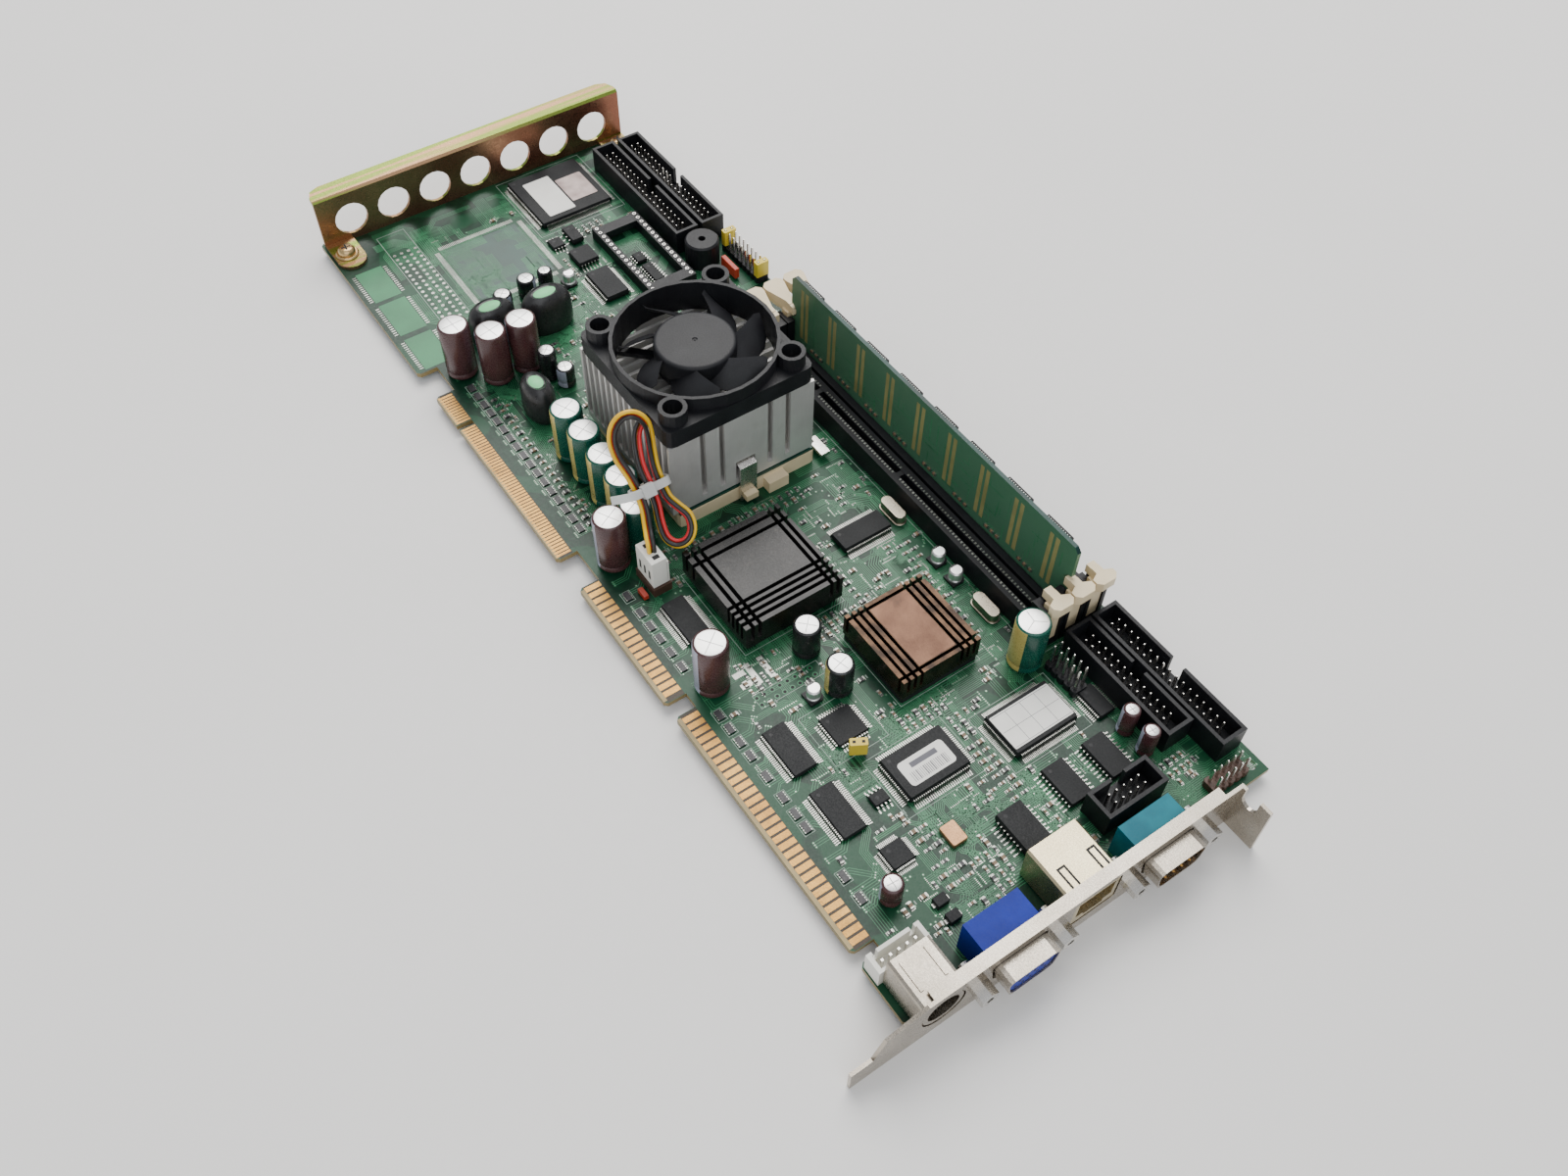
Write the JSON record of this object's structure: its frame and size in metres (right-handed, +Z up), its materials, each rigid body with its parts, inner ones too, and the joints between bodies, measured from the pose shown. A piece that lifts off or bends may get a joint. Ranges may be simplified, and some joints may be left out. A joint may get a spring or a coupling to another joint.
{
  "type": "slot single-board computer",
  "caption": "Long slot-card computer board with edge fingers, I/O bracket, fan-cooled processor, memory module in three latched sockets, ribbon headers and a card retainer.",
  "frame": {"origin": "centre of the bounding box at the surface the board stands on", "axes": "+X along the board towards the I/O bracket, +Y towards the memory sockets, +Z up from the component side"},
  "size_m": [0.3558, 0.1406, 0.0524],
  "materials": {
    "green_board": "green solder mask over glass laminate",
    "zinc_plate": "yellow-passivated zinc plate",
    "bright_steel": "bright plated steel",
    "nickel_plate": "satin nickel plate",
    "white_plastic": "natural white nylon",
    "blue_plastic": "moulded blue",
    "teal_plastic": "moulded teal",
    "brown_plastic": "moulded dark brown",
    "black_plastic": "moulded black",
    "cream_plastic": "moulded cream",
    "aluminium_fins": "plain milled aluminium",
    "black_anodised": "black anodised",
    "bronze_anodised": "bronze anodised",
    "chip_epoxy": "moulded epoxy",
    "shrink_sleeve": "black shrunk sleeve",
    "capacitor_sleeve": "printed sleeve over an aluminium can",
    "wire_vinyl": "coloured vinyl wires",
    "clear_nylon": "translucent nylon"
  },
  "bodies": {
    "board": {"circuit_board": "green_board", "memory_module": "green_board", "cpu_package": "green_board", "card_retainer": "zinc_plate", "retainer_screw_front": "bright_steel", "retainer_screw_rear": "bright_steel", "vga_jackscrew_1": "bright_steel", "vga_jackscrew_2": "bright_steel", "com_jackscrew_1": "bright_steel", "com_jackscrew_2": "bright_steel", "heatsink_clip": "bright_steel", "fan_screw_1": "bright_steel", "fan_screw_2": "bright_steel", "fan_screw_3": "bright_steel", "fan_screw_4": "bright_steel", "io_bracket": "nickel_plate", "ps2_port": "nickel_plate", "vga_shell": "nickel_plate", "com_shell": "nickel_plate", "lan_jack": "nickel_plate", "keyboard_header": "white_plastic", "fan_plug": "white_plastic", "vga_body": "blue_plastic", "com_body": "teal_plastic", "usb_header": "brown_plastic", "fan_header": "brown_plastic", "com2_header": "black_plastic", "parallel_header": "black_plastic", "floppy_header": "black_plastic", "ide_header_inner": "black_plastic", "ide_header_outer": "black_plastic", "panel_header": "black_plastic", "flash_socket": "black_plastic", "buzzer": "black_plastic", "dimm_socket_1": "black_plastic", "dimm_socket_2": "black_plastic", "dimm_socket_3": "black_plastic", "fan_frame": "black_plastic", "cpu_socket": "cream_plastic", "cpu_heatsink": "aluminium_fins", "northbridge_heatsink": "black_anodised", "graphics_heatsink": "bronze_anodised", "northbridge_chip": "chip_epoxy", "graphics_chip": "chip_epoxy", "bridge_chip": "chip_epoxy", "bus_chip": "chip_epoxy", "io_chip": "chip_epoxy", "choke_large": "shrink_sleeve", "choke_front": "shrink_sleeve", "capacitor_gold": "capacitor_sleeve", "fan_lead": "wire_vinyl", "cable_tie": "clear_nylon"},
    "rotor": {"fan_rotor": "black_plastic"},
    "lever": {"socket_lever": "bright_steel"},
    "latch_near_1": {"dimm_latch_near_1": "cream_plastic"},
    "latch_near_2": {"dimm_latch_near_2": "cream_plastic"},
    "latch_near_3": {"dimm_latch_near_3": "cream_plastic"},
    "latch_far_1": {"dimm_latch_far_1": "cream_plastic"},
    "latch_far_2": {"dimm_latch_far_2": "cream_plastic"},
    "latch_far_3": {"dimm_latch_far_3": "cream_plastic"}
  },
  "joints": [
    {"name": "fan_spin", "type": "hinge", "parent": "board", "child": "rotor", "pos_m": [-0.01745, 0.0079, 0.045], "axis": [0, 0, 1], "continuous": true},
    {"name": "lever_lift", "type": "hinge", "parent": "board", "child": "lever", "pos_m": [-0.03945, 0.0343, 0.0066], "axis": [0, -1, 0], "range_deg": [0, 90]},
    {"name": "latch_near_1_open", "type": "hinge", "parent": "board", "child": "latch_near_1", "pos_m": [0.09935, 0.0478, 0.008], "axis": [0, 1, 0], "range_deg": [0, 25]},
    {"name": "latch_far_1_open", "type": "hinge", "parent": "board", "child": "latch_far_1", "pos_m": [-0.03685, 0.0478, 0.008], "axis": [0, -1, 0], "range_deg": [0, 25]},
    {"name": "latch_near_2_open", "type": "hinge", "parent": "board", "child": "latch_near_2", "pos_m": [0.09935, 0.0556, 0.008], "axis": [0, 1, 0], "range_deg": [0, 25]},
    {"name": "latch_far_2_open", "type": "hinge", "parent": "board", "child": "latch_far_2", "pos_m": [-0.03685, 0.0556, 0.008], "axis": [0, -1, 0], "range_deg": [0, 25]},
    {"name": "latch_near_3_open", "type": "hinge", "parent": "board", "child": "latch_near_3", "pos_m": [0.09935, 0.0634, 0.008], "axis": [0, 1, 0], "range_deg": [0, 25]},
    {"name": "latch_far_3_open", "type": "hinge", "parent": "board", "child": "latch_far_3", "pos_m": [-0.03685, 0.0634, 0.008], "axis": [0, -1, 0], "range_deg": [0, 25]}
  ]
}
